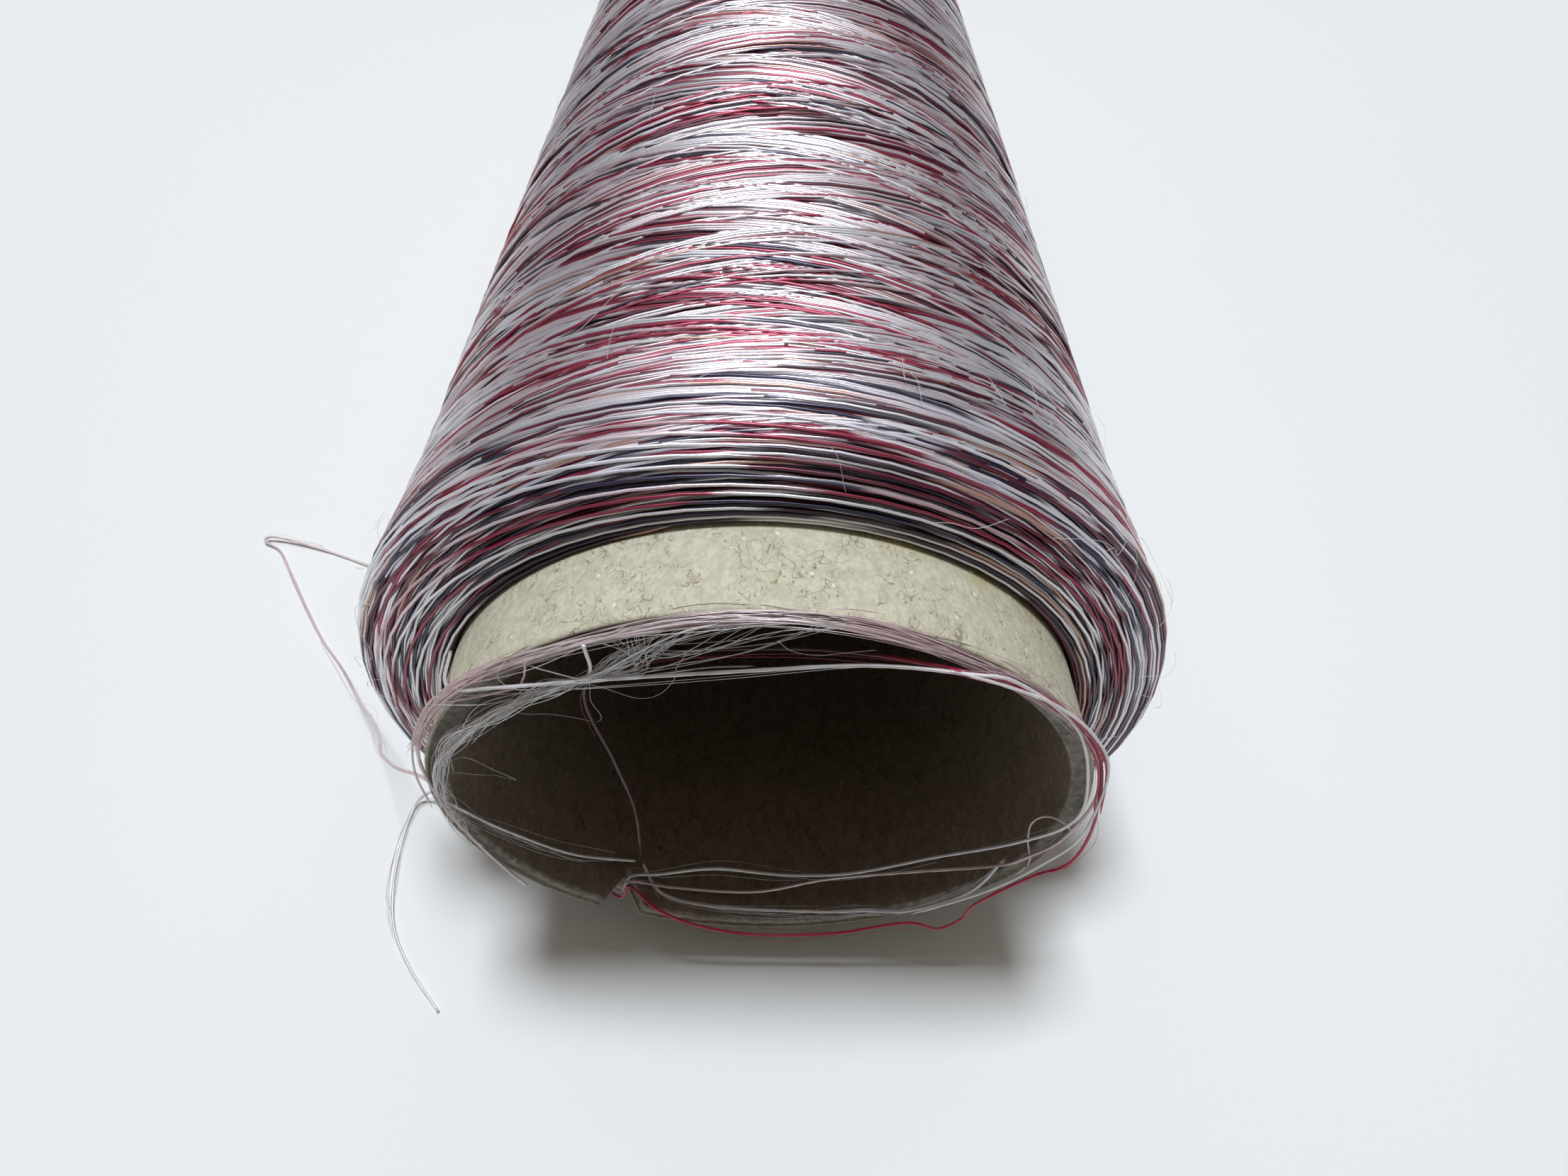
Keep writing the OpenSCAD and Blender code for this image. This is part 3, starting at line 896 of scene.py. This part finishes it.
white_chord = [
    (222, -0.5, 9), (231, -0.3, 6.2), (239, 0.4, 3.3), (239, -3.3, 3.3), (244, -6.5, 2.9),
    (256, -11.5, 2.4), (277, -11.5, 1.9), (297, -11, 1.4), (323, -9.5, 0.8), (342, -5, -0.2),
    (356, -1.5, -1.2), (370, -0.8, -1.4), (390, 0.4, -1.4), (407, 0.2, -1.4), (415, -1.6, -1.4),
    (430, -5.2, -1), (453, -8.4, -0.8), (478, -6.4, -1), (495, -1.3, -1.2), (501, 0.6, -0.6),
    (509, 0.4, 3), (516, -0.4, 9),
]
pink_wrap = [
    (218, -0.5, 9), (229, -0.2, 5.7), (239, 0.4, 2.7), (239, -3, 2.7), (249, -4, 2.6),
    (268, -6, 2.2), (288, -9.6, 1.8), (311, -8.5, 1), (330, -3.6, 0), (338, -2.2, -0.4),
    (348, -0.5, -0.4), (366, 0.5, -0.4), (386, 0.3, -0.4), (404, -0.7, -0.4), (433, -0.9, -0.4),
    (458, -1.2, -0.4), (485, -0.9, -0.4), (504, 0.5, -0.4), (522, 0.7, -0.4), (541, -1, -0.4),
    (557, -1.4, -0.4), (571, -0.4, -0.4), (578, 0.8, -0.3),
]
crimson_end = [
    (214, -0.4, 9), (227, 0, 5), (239, 0.5, 2), (239, -3, 2), (246, -3.4, -0.4),
    (257, -1.2, -0.8), (270, 0.3, -0.8), (285, 0.6, -0.8), (300, 0.6, -0.8), (304, 4.2, -0.8),
    (310, 3.2, -0.8), (316, 0.8, -0.8), (332, 0.6, -0.8), (338, 2.3, -0.8), (346, 2, -0.8),
    (360, 0.8, -0.9), (380, 0.8, -0.9), (400, 0.2, -0.9), (418, -2.4, -0.9), (440, -8.5, 2),
    (472, -8.5, 2), (492, -10, 2), (530, -19, 3), (575, -17, 4), (597, -7.5, 4.4),
]
white_lower = [
    (241, -3.8, 5), (247, -2.9, 2), (259, -2.8, 1.3), (281, -2.8, 0.8), (293, -2.8, 0.2),
    (303, -1.6, -0.4), (318, -1.6, -0.4), (332, -3.1, 0.5),
]
white_left = [
    (116, -0.9, -0.9), (122, -5.7, -0.6), (137, -4.6, -0.4), (151, -3.4, -0.8), (164, -1.4, -0.9),
    (176, -1.3, -0.9), (185, -3.1, -0.4), (202, -4.2, 1.4), (222, -4.4, 3), (238, -5, 4.5),
]

# Plies beside the pink wrap over the top of the rim, one that strays over its end face,
# and one that makes a small loop at the right
PINK_PLY_OFFSETS = [
    (0.30, -0.05), (0.05, -0.25), (0.50, 0.05), (-0.25, -0.12), (0.62, 0.30), (0.35, -0.30),
    (0.15, 0.02),
]
stray_ply = [
    (478, -0.2, -0.8), (486, -0.5, -0.8), (488.5, -1.5, -0.6), (491, -2.5, -0.7), (494, -2.6, -1.0),
    (503.5, 0.3, -0.9), (508, 1.4, 0.2), (521, 1.3, 0.6), (531, 0.9, -0.2), (542, 0.1, -0.7),
]
small_loop = [
    (352, -0.6, -1.1), (355.5, -2.2, -0.9), (355.8, -4.1, -0.4), (349.8, -4.7, 0.2), (341.8, -3.3, 0.3),
    (336.5, -1.6, -0.6), (330, -1.2, -0.8),
]
pink_plies = [
    (beside(pink_wrap, 380, 525, beyond, depth, seed, 0.18), 0.17 * MM)
    for seed, (beyond, depth) in enumerate(PINK_PLY_OFFSETS)
]
pink_plies += [
    (beside(pink_wrap, 385, 525, 0.3, 0.0, seed, 0.5), 0.07 * MM) for seed in range(40, 66)
]
pink_plies += [(rim_route(stray_ply), 0.26 * MM), (rim_route(small_loop), 0.24 * MM)]
crimson_plies = [
    (beside(crimson_end, 352, 420, 0.3, -0.3, 21), 0.3 * MM),
    (beside(crimson_end, 360, 425, -0.15, -0.35, 22), 0.26 * MM),
]
outer_white = [
    (303, -1.2, -0.7), (322, -1.2, -0.9), (338, -0.6, -1.1), (352, 0.4, -1.3), (374, 1.3, -1.3),
    (387, 1.4, -1.4), (399, 0.7, -1.6), (409, -0.6, -1.7), (418, -1.9, -1.5),
]
outer_plies = [(rim_route(outer_white), 0.34 * MM)]


def bunch_filament(number):
    """A filament that fans out from the top of the rim, is drawn in where the bunch crosses
    the mouth, and lies down along the left of the rim."""
    random = np.random.default_rng(300 + number)
    start = 478 - random.uniform(0, 42)
    end = random.uniform(515, 565)
    points = [(start, random.uniform(-2.6, -0.6), random.uniform(-0.9, 0.2))]
    if start < 460:
        points.append((start + 12, random.uniform(-6.0, -2.0), random.uniform(-1.2, 0.6)))
    points.append((472, random.uniform(-7.6, -3.6), random.uniform(-1.2, 0.5)))
    points.append((481.5, random.normal(-5.6, 0.25), random.normal(-0.8, 0.2)))
    points.append((489, random.normal(-5.0, 0.5), random.normal(-0.9, 0.3)))
    points.append((502, random.normal(-3.9, 0.6), random.normal(-1.1, 0.3)))
    points.append((515, random.normal(-2.2, 0.5), random.normal(-1.2, 0.2)))
    for angle in (526, 537, 547, 557):
        if angle < end:
            points.append((angle, random.normal(-1.9, 0.4), random.normal(-1.2, 0.2)))
    return rim_route(points), random.uniform(0.045, 0.085) * MM


curled_filaments = [
    [(500, -4.2, -0.8), (506.5, -7.4, 1.2), (507.8, -10.2, 2.4), (507.5, -12.8, 2.8), (507, -15.1, 3),
     (503.2, -15.0, 3), (497.1, -12.4, 2.6), (489.4, -9.7, 1.6), (482, -6, -0.4)],
    [(524, -2, -0.9), (527.2, -2.8, 0.4), (529.1, -4.1, 1.4), (537.4, -6.6, 2.4), (544, -8.2, 3),
     (541.2, -6.3, 2.8), (539.4, -4.6, 2.4), (533.5, -2.6, 0.8), (530, -1.6, -0.8)],
    [(484, -5.4, -0.8), (487.1, -10.4, 1.6), (488.4, -15.6, 3.2), (482.3, -16.5, 3.4),
     (472.6, -13.9, 2.6), (467.5, -10.3, 1.4), (462, -6, 0)],
    [(496, -3.6, -1), (500, -2, -1.4), (503, 0.4, -1.6), (506, 1.6, -1.2), (512, 1.2, -0.8)],
    [(489, -4.6, -1), (492, -2.4, -1.6), (491, 0.2, -1.8), (487, 1.4, -1.4)],
    [(430, -3.2, -0.6), (434, -6.4, 0.6), (438, -8.2, 1.2), (443, -7.6, 1.0), (446, -5, 0.2)],
]
upper_bunch_ply = [
    (455, -0.8, -0.9), (461, -1.6, -1.0), (469, -3.6, -1.0), (477, -5.2, -0.9), (484, -5.5, -0.9),
    (492, -4.7, -1.0), (503, -3.7, -1.1), (514, -2.4, -1.2),
]
lower_bunch_ply = [
    (450, -8.2, -0.4), (459, -8.2, -0.4), (469, -8.2, -0.4), (477, -7.3, -0.6), (482, -5.6, -0.9),
    (485, -2.9, -1.0), (487, -0.8, -0.9),
]
bunch_plies = [bunch_filament(number) for number in range(38)]
bunch_plies += [(rim_route(points), FILAMENT) for points in curled_filaments]
bunch_plies += [(rim_route(upper_bunch_ply), 0.16 * MM), (rim_route(lower_bunch_ply), 0.14 * MM)]

rim_yarns = [
    ("white_chord", "tail_white_chord", white_chord, white_yarn, "white_yarn", "object", []),
    ("pink_wrap", "tail_pink_wrap", pink_wrap, pink_yarn, "pink_yarn", "bare", pink_plies),
    ("crimson_end", "tail_crimson", crimson_end, crimson_yarn, "crimson_yarn", "bare", crimson_plies),
    ("white_lower", "tail_white_lower", white_lower, white_yarn, "white_yarn", "bare", outer_plies),
    ("white_left", "tail_white_left", white_left, white_yarn, "white_yarn", "bare", bunch_plies),
]
for name, node, points, material, slot, far_end, plies in rim_yarns:
    loose_yarn(name, node, rim_route(points), material, plies)

# ---------------------------------------------------------------------------
# Running end. The same yarn, pulled off the package: a loop comes off the rim's edge, lies
# on the table and meets the package again at its left side, and a second, bare end hangs
# from the winding's shoulder and lies in front of the loop.
# ---------------------------------------------------------------------------


def table_route(points):
    """Places from (mm across, mm back from the rim's centre, mm above the table)."""
    return np.array(points, float) * MM + [0, rim_centre[1], 0]


running_loop = [
    (-34.7, 1, 47), (-37, 3, 43.5), (-41, 6, 38), (-45.5, 11, 30), (-49, 16.5, 21),
    (-53.5, 23.5, 12), (-58.5, 30, 4), (-63, 36.5, 0.5), (-67, 41.5, 0.3), (-70.5, 47, 0.3),
    (-74, 53, 0.3), (-76.5, 57, 0.4), (-79, 58.5, 0.6), (-77, 59, 1), (-69, 57, 0.3),
    (-58, 53, 0.3), (-46, 50, 1), (-37.5, 47, 10), (-36, 46, 24),
]
running_tip = [
    (-35.4, 14, 18), (-42, 15.5, 8), (-48, 16.5, 1.5), (-50, 12.5, 0.3), (-50.5, 5, 0.3),
    (-49.5, -1.5, 0.3), (-46.5, -7, 0.3), (-42, -12.5, 0.3),
]
loop_route, tip_route = table_route(running_loop), table_route(running_tip)
loose_yarn("running_loop", "running_end_loop", loop_route, pink_yarn)
loose_yarn("running_tip", "running_end_tip", tip_route, white_yarn)

# ---------------------------------------------------------------------------
# Stray filaments. Single glossy filaments that handling has sprung out of the outer
# turns: they lie on the package in short curls and lift off it by a millimetre or two.
# ---------------------------------------------------------------------------
STRAYS = 60
STRAY_HEIGHT = 0.12 * MM


def stray_filament(number):
    """A short curl over the package's upper side, half of them near its base."""
    random = np.random.default_rng(700 + number)
    size = random.integers(14, 30)
    share = np.linspace(0, 1, size)
    angle = random.uniform(-0.4, 3.5) + share * random.uniform(-0.30, 0.30)
    drift = random.uniform(-7, 7) * share
    drift += random.uniform(0, 1.6) * np.sin(share * random.uniform(3, 9))
    start = random.choice([random.uniform(3, 25), random.uniform(10, 150)])
    along = np.clip(start * MM + drift * MM, MM, surface_length - MM)
    lift = random.uniform(0.1, 1.3) * MM * np.sin(share * math.pi * random.uniform(0.5, 1))
    places, outward = on_package(along, angle, STRAY_HEIGHT + lift)
    return places, outward, run_of(places), FILAMENT, FILAMENT


stray_rows = [stray_filament(number) for number in range(STRAYS)]
strays = tubes("stray_filaments", stray_rows, white_yarn, sides=3)
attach(strays, "root")

# ---------------------------------------------------------------------------
# Table, light and camera. A matt white table under a lamp almost straight above, with
# soft light from the ceiling, and a camera that looks down into the mouth of the cone.
# ---------------------------------------------------------------------------
TABLE_HALF = 1.5

table_corners = [
    (-TABLE_HALF, -TABLE_HALF, 0),
    (TABLE_HALF, -TABLE_HALF, 0),
    (TABLE_HALF, TABLE_HALF, 0),
    (-TABLE_HALF, TABLE_HALF, 0),
]
table_paint, table_tree, table_shader = new_material("white table")
table = mesh_piece("table", table_corners, [(0, 1, 2, 3)], [table_paint])
table_place = add(table_tree, "TexCoord").outputs["Object"]
table_cloud = add(table_tree, "TexNoise", {"Vector": table_place, "Scale": 3.0, "Detail": 3.0})
table_colour = mixed(table_tree, table_cloud.outputs["Fac"], (0.80, 0.82, 0.80), (0.84, 0.855, 0.83))
table_tree.links.new(table_colour, table_shader.inputs["Base Color"])
table_grain = add(table_tree, "TexNoise", {"Vector": table_place, "Scale": 900.0}).outputs["Fac"]
table_bump = add(table_tree, "Bump", {"Height": table_grain, "Strength": 0.25, "Distance": 0.1 * MM})
table_tree.links.new(table_bump.outputs["Normal"], table_shader.inputs["Normal"])
table_shader.inputs["Roughness"].default_value = 0.6
table_shader.inputs["Specular IOR Level"].default_value = 0.25

world = bpy.data.worlds.new("room")
world.use_nodes = True
world.node_tree.nodes["Background"].inputs["Color"].default_value = (1.0, 0.92, 0.84, 1)
world.node_tree.nodes["Background"].inputs["Strength"].default_value = 0.05
bpy.context.scene.world = world


def soft_light(name, place, aim, width, length, power, tint):
    """A rectangular lamp that faces the place it is aimed at."""
    lamp = bpy.data.lights.new(name, "AREA")
    lamp.shape = "RECTANGLE"
    lamp.size = width
    lamp.size_y = length
    lamp.energy = power
    lamp.color = tint
    holder = bpy.data.objects.new(name, lamp)
    holder.location = place
    holder.rotation_mode = "QUATERNION"
    holder.rotation_quaternion = (Vector(aim) - Vector(place)).to_track_quat("-Z", "Y")
    bpy.context.scene.collection.objects.link(holder)


soft_light(
    "ceiling_lamp", place=(-0.08, 0.24, 2.0), aim=(0, -0.05, 0), width=0.46, length=0.34,
    power=33, tint=(0.95, 1.0, 1.10),
)
soft_light(
    "ceiling", place=(0, 0.5, 2.4), aim=(0, 0, 0), width=3.0, length=3.0,
    power=15.5, tint=(1.0, 0.91, 0.80),
)

# The focal length is 1900 pixels in a frame 2212 pixels wide
CAMERA_PLACE = (3.487 * MM, -134.46 * MM, 178.67 * MM)
CAMERA_AHEAD = (-0.007887, 0.497722, -0.867301)
CAMERA_RIGHT = (0.999912, 0.013215, -0.001509)
SENSOR_WIDTH = 36
FOCAL_PIXELS = 1900
FRAME_PIXELS = 2212

camera_data = bpy.data.cameras.new("camera")
camera_data.sensor_width = SENSOR_WIDTH
camera_data.lens = SENSOR_WIDTH * FOCAL_PIXELS / FRAME_PIXELS
camera_data.clip_start = 0.005
camera = bpy.data.objects.new("camera", camera_data)
bpy.context.scene.collection.objects.link(camera)
right = Vector(CAMERA_RIGHT).normalized()
back = -Vector(CAMERA_AHEAD).normalized()
turned = Matrix((right, back.cross(right), back)).transposed().to_4x4()
camera.matrix_world = Matrix.Translation(CAMERA_PLACE) @ turned
bpy.context.scene.camera = camera
bpy.context.scene.view_settings.view_transform = "Standard"
